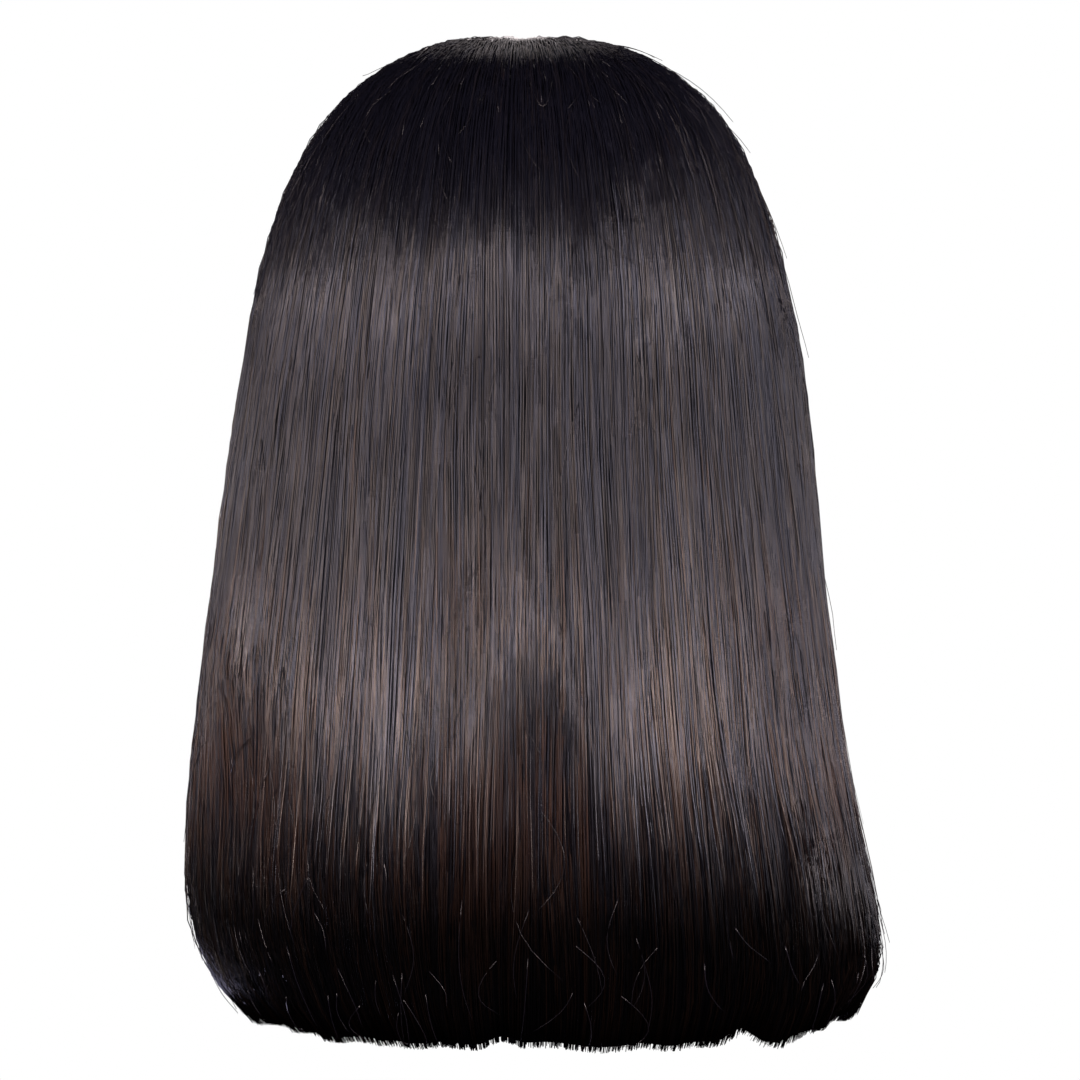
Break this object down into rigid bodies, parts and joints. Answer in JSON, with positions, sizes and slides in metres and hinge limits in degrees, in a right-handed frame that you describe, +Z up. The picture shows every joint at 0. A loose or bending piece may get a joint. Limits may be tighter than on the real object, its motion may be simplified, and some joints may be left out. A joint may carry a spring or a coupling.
{
  "type": "lace front wig",
  "caption": "Straight dark bob wig with blunt turned-under ends, a middle parting on a lace front, a net cap and an elastic nape band, held open as if worn.",
  "frame": {"origin": "the point inside the cap that rests on the top of the wearer's head", "axes": "+Z up along the head, the wearer faces -Y, the wearer's left is +X"},
  "size_m": [0.2551, 0.227, 0.3559],
  "materials": {
    "hair": "glossy straight human hair, natural black-brown",
    "cap_net": "matt stretch net with sewn hair tracks",
    "lace": "fine light brown hexagonal lace",
    "elastic": "matt ribbed elastic"
  },
  "bodies": {
    "root": {"net_cap": "cap_net", "lace_front": "lace", "nape_band": "elastic", "under_hair": "hair", "hair_front_right": "hair", "hair_side_right": "hair", "hair_back": "hair", "hair_side_left": "hair", "hair_front_left": "hair"}
  },
  "joints": []
}
